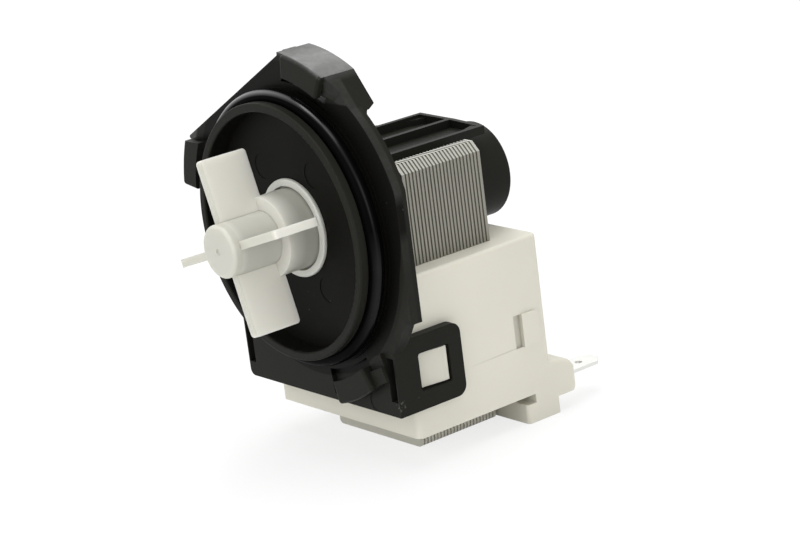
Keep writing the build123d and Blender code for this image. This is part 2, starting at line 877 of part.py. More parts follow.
def terminal_block():
    """The right terminal block with its sloping top."""
    right = housing_half_width
    inside = housing_rear - housing_wall
    top = -block_top_drop
    low = -block_bottom_drop
    profile = make_face(Polyline(
        (inside, low),
        (block_rear - block_foot, low),
        (block_rear, low + 2 * block_foot),
        (block_rear, top - block_slope - block_bevel),
        (block_rear - block_shoulder, top - block_slope),
        (inside, top),
        close=True,
    ))
    tower = extrude(Plane.YZ.offset(right - block_width) * profile, block_width)
    outer_edges = tower.edges().filter_by(
        lambda e: e.center().X > right - 0.01 and e.center().Z > top - block_slope
    )
    return fillet(outer_edges, block_edge_radius)


def leg():
    """The right leg: a short neck and the wider foot that stands as low as the yoke."""
    right = housing_half_width
    rear = housing_rear + leg_overhang
    neck_low = -housing_bottom_drop - leg_neck_height
    high = -housing_bottom_drop + 1
    neck = block(right - leg_width, right, rear - leg_neck_length, rear, neck_low - 1, high)
    foot = block(right - leg_width, right, rear - leg_length, rear, -yoke_bottom_drop, neck_low)
    front_edge = foot.edges().filter_by(Axis.Z).sort_by(Axis.Y)[:2].sort_by(Axis.X)[-1]
    return neck + fillet(front_edge, leg_edge_radius)


def coil_housing():
    """The pale shell over the coils, with catches, pads, terminal blocks and legs."""
    shell = block(
        -housing_half_width, housing_half_width, housing_front, housing_rear,
        -housing_bottom_drop, -housing_top_drop,
    )
    shell = fillet(shell.edges().filter_by(Axis.Z), housing_corner_radius)
    shell = fillet(shell.faces().sort_by(Axis.Z)[-1].edges(), housing_edge_radius)
    for side in (terminal_block(), leg(), housing_catch(), latch_pad()):
        shell += side + other_side(side)
    inner_half = housing_half_width - housing_wall
    shell -= block(
        -inner_half, inner_half, housing_front + housing_wall, housing_rear - housing_wall,
        -housing_bottom_drop - base_clearance, -housing_top_drop - housing_wall,
    )
    shell -= latch_recess() + other_side(latch_recess())
    shell -= disc(can_radius + saddle_clearance, housing_front - 1, housing_rear + 1)
    neck_rear = core_front - 1 + saddle_clearance
    shell -= disc(can_neck_radius + saddle_clearance, housing_front - 1, neck_rear)
    hole = limb_hole(slot_clearance, core_front, core_rear, -housing_bottom_drop, 0)
    shell -= hole + other_side(hole)
    slot = terminal_slot()
    return shell - slot - other_side(slot)


def terminal_slot():
    """The slot that a terminal passes through."""
    half = tab_width / 2
    return block(
        tab_centre - half, tab_centre + half, housing_rear - housing_wall - 1, block_rear + 1,
        -tab_drop - tab_thickness / 2, -tab_drop + tab_thickness / 2,
    )


def base_plate():
    """The plate that closes the housing round the yoke."""
    half = housing_half_width - housing_wall - base_clearance
    front = housing_front + housing_wall + base_clearance
    rear = housing_rear - housing_wall - base_clearance
    plate = block(-half, half, front, rear, -housing_bottom_drop, -housing_bottom_drop + base_thickness)
    plate -= block(
        -limb_outer - slot_clearance, limb_outer + slot_clearance,
        core_front - slot_clearance, core_rear + slot_clearance,
        -yoke_bottom_drop, 0,
    )
    notch = block(
        tab_centre - tail_width / 2 - tail_clearance, tab_centre + tail_width / 2 + tail_clearance,
        rear - tail_inset - tab_thickness - 2 * tail_clearance, rear + 1, -yoke_bottom_drop, 0,
    )
    return plate - notch - other_side(notch)


def bobbin():
    """The right bobbin, a square tube round the limb with a flange at each end."""
    top = -housing_top_drop - housing_wall - bobbin_top_gap
    low = -housing_bottom_drop + base_thickness + bobbin_top_gap
    reach = winding_reach + flange_reach
    tube = limb_hole(winding_start, core_front, core_rear, low, top)
    flange_low = limb_hole(reach, core_front, core_rear, low, low + bobbin_flange)
    flange_high = limb_hole(reach, core_front, core_rear, top - bobbin_flange, top)
    limit = block(middle_gap / 2, 2 * housing_half_width, 0, 2 * housing_rear, 2 * low, 0)
    body = (tube + flange_low + flange_high) & limit
    body -= disc(can_neck_radius + saddle_clearance, 0, core_front)
    return body - limb_hole(bobbin_clearance, core_front, core_rear, low - 1, top + 1)


def winding():
    """The right coil, a rounded sleeve of wire round the bobbin."""
    top = -housing_top_drop - housing_wall - bobbin_top_gap - bobbin_flange
    low = -housing_bottom_drop + base_thickness + bobbin_top_gap + bobbin_flange
    outer = limb_hole(winding_reach, core_front, core_rear, low, top)
    outer = fillet(outer.edges().filter_by(Axis.Z), winding_corner_radius)
    return outer - limb_hole(winding_start, core_front, core_rear, low - 1, top + 1)


def terminal():
    """The right flat terminal: pointed tab outside, narrow tail bent up inside."""
    half = tab_width / 2
    root = housing_rear - housing_wall - tail_inset
    tip = block_rear + tab_reach
    outline = make_face(Polyline(
        (tab_centre - half, root + tab_thickness), (tab_centre + half, root + tab_thickness),
        (tab_centre + half, tip - tab_point), (tab_centre + half - tab_point, tip),
        (tab_centre - half + tab_point, tip), (tab_centre - half, tip - tab_point),
        close=True,
    ))
    outline -= Pos(tab_centre, tip - tab_hole_setback) * Circle(tab_hole_radius)
    low = -tab_drop - tab_thickness / 2
    blade_solid = extrude(Pos(0, 0, low) * outline, tab_thickness)
    inner_wall = housing_rear - housing_wall
    shoulder = block(
        tab_centre + tail_width / 2, tab_centre + half + 1, root, inner_wall, low - 1, low + 2,
    )
    blade_solid -= shoulder + mirror(shoulder, about=Plane.YZ.offset(tab_centre))
    tail = block(
        tab_centre - tail_width / 2, tab_centre + tail_width / 2,
        root, root + tab_thickness, low, low + tail_rise,
    )
    return blade_solid + tail


def lead(points):
    """A round insulated wire along a path with rounded bends."""
    path = FilletPolyline(*points, radius=lead_bend_radius)
    start = Plane(origin=path @ 0, z_dir=path % 0)
    return sweep(start * Circle(lead_radius), path=path)


def terminal_lead():
    """The wire from the back of the right winding to its terminal's tail."""
    x_winding = (limb_inner + limb_outer) / 2
    y_winding = core_rear + winding_reach + lead_radius
    y_tail = housing_rear - housing_wall - tail_inset - lead_radius
    high = -tab_drop + lead_drop
    low = -tab_drop + tail_rise - lead_overlap
    return lead([(x_winding, y_winding, high), (tab_centre, y_tail, high), (tab_centre, y_tail, low)])


def link_lead():
    """The wire that joins the two windings behind the core."""
    x = (limb_inner + limb_outer) / 2
    y = core_rear + winding_reach + lead_radius
    high = -tab_drop + lead_drop + link_rise
    return lead([(-x, y, high + link_end), (-x, y, high), (x, y, high), (x, y, high + link_end)])


def thermal_cutout():
    """The temperature switch that lies on the outside of the left winding."""
    side = limb_outer + winding_reach
    body = block(
        -side - cutout_thickness, -side,
        core_middle - cutout_length / 2, core_middle + cutout_length / 2,
        -cutout_drop - cutout_height, -cutout_drop,
    )
    return fillet(body.edges().filter_by(Axis.Z), cutout_edge_radius)


def all_nodes():
    """Every piece of the pump under its own name."""
    front_washer = bearing_rear + washer_play
    rear_washer = rear_bearing_front - washer_play - washer_thickness
    return {
        "pump_cover": pump_cover(),
        "spigot_seal": spigot_seal(),
        "bearing_cap": bearing_cap(),
        "cap_seal": cap_seal(),
        "lip_seal": lip_seal(),
        "front_bearing": bearing(bearing_front),
        "front_bearing_mount": bearing_mount(bearing_front),
        "rear_bearing": bearing(rear_bearing_front),
        "rear_bearing_mount": bearing_mount(rear_bearing_front),
        "front_thrust_washer": thrust_washer(front_washer),
        "rear_thrust_washer": thrust_washer(rear_washer),
        "rotor_shaft": rotor_shaft(),
        "rotor_magnet": rotor_magnet(),
        "rotor_carrier": rotor_carrier(),
        "drive_dog": drive_dog(),
        "dog_buffers": dog_buffers(),
        "impeller": impeller(),
        "pole_right": pole(),
        "pole_left": other_side(pole()),
        "core_yoke": core_yoke(),
        "bobbin_right": bobbin(),
        "bobbin_left": other_side(bobbin()),
        "winding_right": winding(),
        "winding_left": other_side(winding()),
        "coil_housing": coil_housing(),
        "base_plate": base_plate(),
        "terminal_right": terminal(),
        "terminal_left": other_side(terminal()),
        "lead_right": terminal_lead(),
        "lead_left": other_side(terminal_lead()),
        "link_lead": link_lead(),
        "thermal_cutout": thermal_cutout(),
    }


os.makedirs("parts", exist_ok=True)
for node, solid in all_nodes().items():
    export_step(solid, "parts/" + node + ".step")
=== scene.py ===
import math

import bpy
import numpy as np
from mathutils import Matrix, Vector


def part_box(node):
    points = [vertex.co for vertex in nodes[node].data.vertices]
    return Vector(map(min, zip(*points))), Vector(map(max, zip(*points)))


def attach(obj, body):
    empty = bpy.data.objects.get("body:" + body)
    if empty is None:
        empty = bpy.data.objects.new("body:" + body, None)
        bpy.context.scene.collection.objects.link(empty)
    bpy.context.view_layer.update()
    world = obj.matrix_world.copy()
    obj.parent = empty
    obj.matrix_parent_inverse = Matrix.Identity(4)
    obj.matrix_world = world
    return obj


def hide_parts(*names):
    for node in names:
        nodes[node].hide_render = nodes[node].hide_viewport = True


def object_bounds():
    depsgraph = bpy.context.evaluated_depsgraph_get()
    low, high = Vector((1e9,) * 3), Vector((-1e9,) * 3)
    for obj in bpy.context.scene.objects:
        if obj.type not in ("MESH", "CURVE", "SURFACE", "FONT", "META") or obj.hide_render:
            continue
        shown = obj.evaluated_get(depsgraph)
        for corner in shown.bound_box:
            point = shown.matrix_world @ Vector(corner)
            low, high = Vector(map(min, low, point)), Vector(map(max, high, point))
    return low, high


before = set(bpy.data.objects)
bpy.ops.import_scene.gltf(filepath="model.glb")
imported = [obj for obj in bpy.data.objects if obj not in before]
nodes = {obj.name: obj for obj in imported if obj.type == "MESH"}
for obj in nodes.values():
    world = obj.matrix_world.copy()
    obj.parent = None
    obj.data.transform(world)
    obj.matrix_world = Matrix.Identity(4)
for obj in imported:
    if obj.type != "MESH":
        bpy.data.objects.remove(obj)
cad_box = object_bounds()

# The photograph's camera: its place in metres, the angles that it is turned by, its lens and sensor in millimetres
camera_place = (0.45153, -0.30876, 0.14646)
camera_azimuth = 52.94
camera_elevation = 16.08
camera_roll = -7.37
camera_lens = 116.33
sensor_width = 36.0

# The lamps: place and size in metres, power in watts
lamp_target = (0, 0.02, 0)
lamps = {
    "top_lamp": ((0.0, -0.1, 1.3), 1.0, 11.5),
    "back_lamp": ((-0.6, 0.8, 0.95), 0.6, 4),
    "key_lamp": ((0.1, -1.15, 0.5), 0.9, 5.1),
    "side_lamp": ((1.2, 0.0, 0.4), 0.9, 3.4),
}
world_strength = 0.60

# The floor: how much of what the camera sees of it is plain white, and its sizes in metres
floor_white_share = 0.75
floor_half_width = 3.0
floor_gap = 0.00005

# Colours as they look on the pump under plain light; some stand for painted shade or painted light: the face's
# shadow, the dish's shade, the lit black, the impeller's shaded greys and the lit chamfer and yoke
cover_black = (0.0108, 0.0107, 0.0088)
worn_and_lit_black = (0.0185, 0.0185, 0.0155)
face_shadow_black = (0.0034, 0.0033, 0.0027)
dish_shade_black = (0.0051, 0.00495, 0.00405)
dust_grey = (0.12, 0.12, 0.11)
seal_black = (0.0014, 0.0014, 0.0015)
warm_white = (0.650, 0.632, 0.545)
impeller_white = (0.665, 0.655, 0.600)
front_shade_white = (0.50, 0.495, 0.44)
hub_shade_grey = (0.46, 0.455, 0.405)
skirt_shade_grey = (0.40, 0.395, 0.35)
cap_grey = (0.67, 0.67, 0.60)
sheet_light = (0.315, 0.307, 0.265)
sheet_dark = (0.165, 0.16, 0.125)
chamfer_painted_light = (0.44, 0.44, 0.40)
yoke_painted_light = (0.47, 0.46, 0.40)
tin = (0.76, 0.76, 0.73)
copper = (0.55, 0.24, 0.11)
paper_white = (0.90, 0.90, 0.90)

# The pieces inside: each finish with its colour, roughness and metallic share, and the nodes that have it
inner_finishes = {
    "inner_rubber": (
        (0.015, 0.015, 0.015), 0.5, 0.0,
        ("cap_seal", "lip_seal", "front_bearing_mount", "rear_bearing_mount", "dog_buffers"),
    ),
    "carbon": ((0.05, 0.05, 0.055), 0.45, 0.0, ("front_bearing", "rear_bearing")),
    "amber_plastic": ((0.45, 0.35, 0.18), 0.4, 0.0, ("front_thrust_washer", "rear_thrust_washer")),
    "ground_steel": ((0.62, 0.62, 0.62), 0.2, 1.0, ("rotor_shaft",)),
    "ferrite": ((0.06, 0.06, 0.065), 0.55, 0.0, ("rotor_magnet",)),
    "inner_black": ((0.03, 0.03, 0.03), 0.5, 0.0, ("rotor_carrier", "drive_dog")),
    "bobbin_plastic": ((0.6, 0.57, 0.48), 0.5, 0.0, ("bobbin_left", "bobbin_right")),
    "lead_sleeve": ((0.5, 0.5, 0.47), 0.45, 0.0, ("lead_left", "lead_right", "link_lead")),
    "cutout_plastic": ((0.10, 0.07, 0.05), 0.45, 0.0, ("thermal_cutout",)),
}

# Where the cover's finish changes, in metres: the dish and the can's mouth behind it, painted darker as shade, the
# plate's face with its painted shadow, the band beside it painted lighter as lit, the hooks' outer walls, worn and
# with a painted sheen, and the worn corner of the right loop
dish_radius = 0.0271
dish_front = 0.0002
dish_rear = 0.0115
plate_near = 0.0050
plate_far = 0.0080
shadow_inner_radius = 0.0310
shadow_outer_radius = 0.0342
shadow_growth = 0.003
shadow_top = 0.0293
right_part = 0.0125
band_radius = 0.0352
band_bottom = -0.020
hook_wall_radius = 0.0395
hook_skin_radius = 0.0399
loop_corner = (0.0275, 0.0066, -0.0372)

# Where the housing's finish changes: its sides, the recesses beside their pads and the catches, both painted darker
# as shade, and the mould's line
housing_side = 0.0254
recess_inner = 0.0241
recess_outer = 0.0249
recess_near = 0.0423
recess_far = 0.0463
recess_bottom = -0.0357
recess_top = -0.0273
catch_rear = 0.020
mould_line_middle = 0.039
mould_line_height = -0.0352
mould_line_slope = 0.01

# Where the impeller's finish changes, with painted shade: the blades' fronts, the hub behind its nose and the skirt
blade_front = -0.01385
hub_radius = 0.0060
hub_grey_front = -0.0155
hub_grey_rear = -0.0120
skirt_front = -0.00325
skirt_radius = 0.0092

# The core's stack of sheets, its chamfer's lower edge, above which it is painted lighter as lit, and the height
# below which its finish is the yoke's, painted lighter as lit too
core_front = 0.0205
core_length = 0.02235
sheet_count = 23
chamfer_height = 0.0103
yoke_finish_top = -0.0460

# The O-ring's mould ridge, with its width as a sine, and how much the ring swells and how often
ridge_height = 0.00004
ridge_width = 0.09
swell_height = 0.00002
swell_count = 7
ring_steps = 360
tube_steps = 64

# The wound coils, with the points on each half round, corner, end and inner wall
wire_pitch = 0.00045
sleeve_wall = 0.0037
sleeve_corner = 0.0004
turn_points = 6
corner_points = 10
end_points = 6
wall_points = 6


def operator(kind, flipped=False):
    """One operator on wires: a Math node of this kind, with its sides swapped for the reflected form."""
    def work(first, second):
        sides = (second, first) if flipped else (first, second)
        return first.graph.node("ShaderNodeMath", {"operation": kind}, dict(enumerate(sides)))
    return work


class Wire:
    """A shader socket that sums can be written with: each operator adds one Math node."""

    def __init__(self, graph, socket):
        self.graph = graph
        self.socket = socket

    __add__ = operator("ADD")
    __radd__ = operator("ADD", flipped=True)
    __sub__ = operator("SUBTRACT")
    __rsub__ = operator("SUBTRACT", flipped=True)
    __mul__ = operator("MULTIPLY")
    __rmul__ = operator("MULTIPLY", flipped=True)
    __truediv__ = operator("DIVIDE")
    __rtruediv__ = operator("DIVIDE", flipped=True)
    __pow__ = operator("POWER")
    __rpow__ = operator("POWER", flipped=True)
    __mod__ = operator("FLOORED_MODULO")
    __rmod__ = operator("FLOORED_MODULO", flipped=True)

    def __abs__(self):
        return self.graph.node("ShaderNodeMath", {"operation": "ABSOLUTE"}, {0: self})

    def rise(self, start, end):
        """0 below the start and 1 above the end, or the other way where the start is the greater."""
        low, high = sorted((start, end))
        levels = (0.0, 1.0) if start < end else (1.0, 0.0)
        return self.graph.node("ShaderNodeMapRange", None, {
            "Value": self, "From Min": low, "From Max": high, "To Min": levels[0], "To Max": levels[1],
        })

    def above(self, level, blur):
        """1 from this level plus the blur upwards, 0 below the level."""
        return self.rise(level, level + blur)

    def below(self, level, blur):
        """1 up to this level, 0 above the level plus the blur."""
        return self.rise(level + blur, level)

    def within(self, low, high, blur):
        """1 between two levels, falling to 0 over the blur outside them."""
        return self.above(low - blur, blur) * self.below(high, blur)

    def clipped(self):
        """Kept between 0 and 1."""
        return self.rise(0.0, 1.0)


class Graph:
    """The nodes of one material or of the world."""

    def __init__(self, holder):
        holder.use_nodes = True
        self.holder = holder
        self.tree = holder.node_tree
        self.tree.nodes.clear()

    def node(self, kind, settings=None, inputs=None, output=0):
        """Adds a node: its settings first, then the values or links of its sockets."""
        made = self.tree.nodes.new(kind)
        for name, value in (settings or {}).items():
            setattr(made, name, value)
        for name, value in (inputs or {}).items():
            if isinstance(value, Wire):
                self.tree.links.new(value.socket, made.inputs[name])
            else:
                made.inputs[name].default_value = value
        return Wire(self, made.outputs[output]) if made.outputs else made

    def place(self, stretch=None):
        """The point on the piece in metres, multiplied by three factors where they are given."""
        point = self.node("ShaderNodeTexCoord", output="Object")
        if stretch is None:
            return point
        return self.node("ShaderNodeVectorMath", {"operation": "MULTIPLY"}, {0: point, 1: stretch})

    def axes(self):
        """The point's three coordinates."""
        split = self.node("ShaderNodeSeparateXYZ", None, {0: self.place()}).socket.node
        return [Wire(self, split.outputs[index]) for index in range(3)]

    def noise(self, scale, detail, roughness=0.55, stretch=None):
        """Cloudy noise from 0 to 1, with its scale in cycles per metre."""
        return self.node(
            "ShaderNodeTexNoise", None,
            {"Vector": self.place(stretch), "Scale": scale, "Detail": detail, "Roughness": roughness},
        )

    def mix(self, factor, first, second):
        """A colour between two colours."""
        made = self.node("ShaderNodeMix", {"data_type": "RGBA"}, output=2)
        for index, value in ((0, factor), (6, first), (7, second)):
            socket = made.socket.node.inputs[index]
            if isinstance(value, Wire):
                self.tree.links.new(value.socket, socket)
            else:
                socket.default_value = value if index == 0 else (*value, 1)
        return made

    def bump(self, height, strength, distance):
        """A surface normal from a height: the height times the distance is in metres."""
        return self.node(
            "ShaderNodeBump", None, {"Height": height, "Strength": strength, "Distance": distance},
        )

    def seen_white(self):
        """1 for the camera's own rays and for reflections, 0 for the light that falls on things."""
        camera, glossy, through = (
            self.node("ShaderNodeLightPath", output=name)
            for name in ("Is Camera Ray", "Is Glossy Ray", "Is Transmission Ray")
        )
        return (camera + glossy + through).clipped()

    def end(self, surface, output="ShaderNodeOutputMaterial"):
        """Joins the last shader to the output."""
        self.node(output, None, {0: surface})
        return self.holder

    def finish(self, **sockets):
        """Ends the material in one Principled shader with these sockets."""
        values = {name.replace("_", " "): value for name, value in sockets.items()}
        return self.end(self.node("ShaderNodeBsdfPrincipled", None, values))


def material(name):
    """An empty material's nodes."""
    return Graph(bpy.data.materials.new(name))


def shade(colour, factor):
    """A colour made lighter or darker."""
    return tuple(factor * level for level in colour)


def moulded_black():
    """Glass-filled black plastic: fine grain, uneven gloss and a few specks of dust. It is painted darker as shade
    in the dish and with a painted shadow on the plate's face. It is painted lighter and glossier as lit on the band
    outside that shadow and on the hooks' outer walls in their upper half, which are also worn, and it is worn at the
    corner of the right loop."""
    graph = material("moulded_black")
    x, y, z = graph.axes()
    radius = (x * x + z * z) ** 0.5
    cloud = graph.noise(60, 3)
    grain = graph.noise(2600, 2)
    in_dish = radius.below(dish_radius, 0.0006) * y.below(dish_rear, 0.001) * y.above(dish_front, 0.0004)

    # The shadow painted on the plate's face ends at a radius that grows upwards, and in the right part at a height
    # too
    on_plate = y.within(plate_near, plate_far, 0.0005)
    in_right_part = x.above(right_part, 0.0005)
    inside = (radius - z.rise(-0.006, 0.012) * shadow_growth).below(shadow_outer_radius, 0.0003)
    shadow_outline = inside * (1 - in_right_part * z.above(shadow_top, 0.0004))
    shadow_on_face = on_plate * radius.above(shadow_inner_radius - 0.0005, 0.0005) * shadow_outline

    # The band outside that shadow in the right part is painted lighter as lit, and the hooks' outer walls are worn
    # and painted lighter as lit on their upper half
    beyond = in_right_part * z.above(band_bottom - 0.002, 0.002) * radius.above(band_radius, 0.0005)
    lit_band = on_plate * (1 - shadow_outline) * beyond
    rubbed_and_lit = radius.above(hook_wall_radius, 0.0004) * z.rise(-0.004, 0.0)
    # The band is painted lighter towards its top, as lit from above
    worn_and_lit = (rubbed_and_lit + lit_band * (0.15 + z.rise(-0.006, 0.008) * 0.55)).clipped()

    corner_x, corner_y, corner_z = loop_corner
    from_corner = ((x - corner_x) ** 2 + (y - corner_y) ** 2 + (z - corner_z) ** 2) ** 0.5
    nicks = graph.noise(1500, 3, 0.7).rise(0.56, 0.62) * from_corner.rise(0.0020, 0.0009)
    dust = graph.noise(700, 3, 0.6).rise(0.735, 0.76) * graph.noise(70, 2).rise(0.50, 0.62)
    scuffs = graph.noise(350, 5, 0.7).rise(0.42, 0.68)
    body = graph.mix(cloud, cover_black, shade(cover_black, 1.35))
    # Painted shade: the dish is darker, and the plate's face carries a painted shadow
    face = graph.mix(shadow_on_face, graph.mix(in_dish, body, dish_shade_black), face_shadow_black)
    # Painted light: the band and the hooks' upper walls get a lighter black, which on the hooks also stands for wear
    worn = graph.mix(worn_and_lit * (0.6 + scuffs * 0.4), face, worn_and_lit_black)
    return graph.finish(
        Base_Color=graph.mix(dust * 0.7 + nicks * 0.6, worn, dust_grey),
        Roughness=0.36 + cloud * 0.14 + in_dish * 0.10 + dust * 0.2,
        # The coat is a painted sheen where the band and the hooks' walls are painted as lit
        Coat_Weight=worn_and_lit * (0.28 + scuffs * 0.22 + radius.above(hook_skin_radius, 0.0003) * 0.25),
        Coat_Roughness=0.32,
        Normal=graph.bump(grain, 0.35, 0.00008),
        Specular_IOR_Level=0.06,
    )


def seal_rubber(middle_radius, middle_y, tube):
    """Smooth black rubber. A thin uneven painted sheen, a coat set where the ring catches the light, lies on the
    crest of the ring, most of it at the upper left. The crest turns from the front of the ring at the left towards
    its outside at the right. A fainter painted sheen lies on the outside at the lower right."""
    graph = material("seal_rubber")
    x, y, z = graph.axes()
    cloud = graph.noise(120, 2)
    out = (x * x + z * z) ** 0.5 - middle_radius
    behind = y - middle_y
    share = x / middle_radius
    off_crest = abs(out * (0.57 - share * 0.14) + behind * (0.82 + share * 0.09)) / tube
    outer_front = (out - behind).rise(0.0, tube / 2)
    # Painted highlight: the coat on the crest lies where the ring catches the light
    crest = (off_crest / (0.52 - share * 0.3)).rise(1.0, 0.1) * outer_front * z.rise(-0.012, 0.026)
    # A fainter painted sheen on the outside at the lower right
    side = share.rise(0.6, 0.95) * z.rise(0.004, -0.004) * (out / tube).rise(0.2, 0.8)
    painted_sheen = crest * (0.12 + share.rise(0.6, -0.1) * 0.88) + side * 0.1
    return graph.finish(
        Base_Color=graph.mix(cloud, seal_black, shade(seal_black, 1.6)),
        Roughness=0.24 + cloud * 0.14,
        Coat_Weight=painted_sheen * (0.75 + cloud * 0.5),
        Coat_Roughness=0.2,
        # This refractive index makes the painted highlight brighter
        Coat_IOR=2.2,
        Normal=graph.bump(cloud, 0.05, 0.0001),
        Specular_IOR_Level=0.01,
    )


def moulded_white():
    """The housing's warm off-white plastic, with the fine line on its sides where the mould's halves met. It is
    painted a little darker as shade in the small recesses, on the catches and towards the rear."""
    graph = material("moulded_white")
    x, y, z = graph.axes()
    reach = abs(x)
    cloud = graph.noise(45, 3)
    grain = graph.noise(1800, 2)
    off_line = abs(z - mould_line_height - (y - mould_line_middle) * mould_line_slope)
    line_ends = y.rise(0.028, 0.036) * y.rise(0.0440, 0.0430)
    line = off_line.rise(0.00024, 0.00006) * reach.above(housing_side - 0.0003, 0.0002) * line_ends
    in_recess = (
        reach.within(recess_inner, recess_outer, 0.0003)
        * y.within(recess_near, recess_far, 0.0003)
        * z.within(recess_bottom, recess_top, 0.0003)
    )
    on_catch = reach.above(housing_side + 0.0001, 0.0003) * y.below(catch_rear, 0.002)
    # Painted shade: darker in the recesses, on the catches in the loops' windows and towards the rear
    shaded = (in_recess * 0.35 + on_catch * 0.3 + y.rise(0.032, 0.050) * 0.13).clipped()
    plastic = graph.mix(cloud, warm_white, shade(warm_white, 0.94))
    dark = shade(warm_white, 0.5)
    return graph.finish(
        Base_Color=graph.mix(line * 0.4, graph.mix(shaded, plastic, dark), dark),
        Roughness=0.48 + cloud * 0.1,
        Normal=graph.bump(grain * 0.00002 - line * 0.00003, 0.8, 1.0),
        Subsurface_Weight=0.12,
        Subsurface_Radius=(0.002, 0.0018, 0.0012),
        Subsurface_Scale=1.0,
    )


def impeller_plastic():
    """The impeller's milky plastic, which lets some light through. It is painted greyer as shade in the deep skirt,
    on the hub behind its nose and a little on the blades' front edges."""
    graph = material("impeller_plastic")
    x, y, z = graph.axes()
    radius = (x * x + z * z) ** 0.5
    cloud = graph.noise(70, 3)
    in_skirt = y.rise(skirt_front + 0.0002, skirt_front + 0.0045) * radius.below(skirt_radius, 0.0002)
    in_hub = radius.below(hub_radius, 0.0003) * y.rise(hub_grey_front, hub_grey_rear)
    in_front = y.below(blade_front, 0.0004)
    milky = graph.mix(cloud, impeller_white, shade(impeller_white, 0.95))
    # Painted shade: the blades' fronts and the hub behind its nose are made greyer
    body = graph.mix(in_front, graph.mix(in_hub, milky, hub_shade_grey), front_shade_white)
    return graph.finish(
        Base_Color=graph.mix(in_skirt, body, graph.mix(cloud, skirt_shade_grey, shade(skirt_shade_grey, 1.12))),
        Roughness=0.34 + cloud * 0.12,
        Normal=graph.bump(graph.noise(900, 2), 0.12, 0.0001),
        Subsurface_Weight=0.45,
        Subsurface_Radius=(0.004, 0.0038, 0.003),
        Subsurface_Scale=1.0,
    )


def cap_plastic():
    """The cap's greyer, more see-through plastic."""
    graph = material("cap_plastic")
    cloud = graph.noise(90, 3)
    return graph.finish(
        Base_Color=graph.mix(cloud, cap_grey, shade(cap_grey, 0.88)),
        Roughness=0.3 + cloud * 0.1,
        Subsurface_Weight=0.4,
        Subsurface_Radius=(0.004, 0.0038, 0.0032),
        Subsurface_Scale=1.0,
    )


def sheet_steel():
    """The bare edges of the stacked sheets: light metal with a dark joint at each pitch, and traces of varnish. The
    chamfer is painted lighter, as lit from above, and the yoke is plain and painted lighter as lit: only its cut
    grooves show its sheets."""
    graph = material("sheet_steel")
    _, y, z = graph.axes()
    cloud = graph.noise(200, 3)
    streaks = graph.noise(60, 2, 0.5, stretch=(1, 40, 1))
    turn = (y - core_front) * (sheet_count / core_length)
    from_joint = abs((turn % 1.0) - 0.5)
    in_yoke = z.rise(yoke_finish_top, yoke_finish_top - 0.001)
    joint = from_joint.rise(0.24, 0.31) * turn.within(0.4, sheet_count - 0.4, 0.1) * (1 - in_yoke)
    on_chamfer = z.above(chamfer_height - 0.0001, 0.0002)
    wall = graph.mix(streaks, shade(sheet_light, 0.70), sheet_light)
    # Painted light: the chamfer and the yoke are made lighter, as lit
    sheet = graph.mix(in_yoke, graph.mix(on_chamfer, wall, chamfer_painted_light), yoke_painted_light)
    return graph.finish(
        Base_Color=graph.mix(joint, sheet, sheet_dark),
        Metallic=0.75 - joint * 0.4 - in_yoke * 0.5,
        Roughness=0.36 + cloud * 0.18 + joint * 0.2,
        Normal=graph.bump(cloud, 0.15, 0.0001),
    )


def tinned_brass():
    """The terminals' bright tin, with fine marks along the tab from rolling."""
    graph = material("tinned_brass")
    cloud = graph.noise(300, 2)
    marks = graph.noise(2500, 2, 0.5, stretch=(1, 0.05, 1))
    return graph.finish(
        Base_Color=graph.mix(cloud, tin, shade(tin, 0.92)),
        Metallic=1.0,
        Roughness=0.2 + cloud * 0.1 + marks * 0.1,
        Normal=graph.bump(marks, 0.1, 0.00005),
    )


def wound_wire():
    """Enamelled copper wire: warm and glossy, with slightly uneven enamel."""
    graph = material("wound_wire")
    cloud = graph.noise(150, 3)
    return graph.finish(
        Base_Color=graph.mix(cloud, copper, shade(copper, 0.7)),
        Metallic=0.8,
        Roughness=0.25 + cloud * 0.15,
    )


def plain(name, colour, roughness, metallic):
    """A finish for the inner pieces, slightly clouded."""
    graph = material(name)
    cloud = graph.noise(150, 3)
    return graph.finish(
        Base_Color=graph.mix(cloud, colour, shade(colour, 0.85)),
        Metallic=metallic,
        Roughness=roughness + cloud * 0.1,
    )


def dress(finish, *names):
    """Gives CAD nodes their finish."""
    for name in names:
        mesh = nodes[name].data
        mesh.materials.clear()
        mesh.materials.append(finish)


def dress_all():
    """Gives every CAD node that stays its finish."""
    dress(moulded_black(), "pump_cover")
    dress(moulded_white(), "coil_housing", "base_plate")
    dress(impeller_plastic(), "impeller")
    dress(cap_plastic(), "bearing_cap")
    dress(sheet_steel(), "pole_left", "pole_right", "core_yoke")
    dress(tinned_brass(), "terminal_left", "terminal_right")
    for name, (colour, roughness, metallic, pieces) in inner_finishes.items():
        dress(plain(name, colour, roughness, metallic), *pieces)


def closed_surface(name, points, finish):
    """A smooth piece from points on a grid that closes on itself both ways. Where the grid's first direction
    crossed with its second points out, so do the faces."""
    rows, columns, _ = points.shape
    index = np.arange(rows * columns).reshape(rows, columns)
    ahead = np.roll(index, -1, axis=0)
    faces = np.stack([index, ahead, np.roll(ahead, -1, axis=1), np.roll(index, -1, axis=1)], axis=-1)
    mesh = bpy.data.meshes.new(name)
    mesh.from_pydata(points.reshape(-1, 3).tolist(), [], faces.reshape(-1, 4).tolist())
    mesh.polygons.foreach_set("use_smooth", np.ones(len(mesh.polygons), dtype=bool))
    mesh.materials.append(finish)
    piece = bpy.data.objects.new(name, mesh)
    bpy.context.scene.collection.objects.link(piece)
    return piece


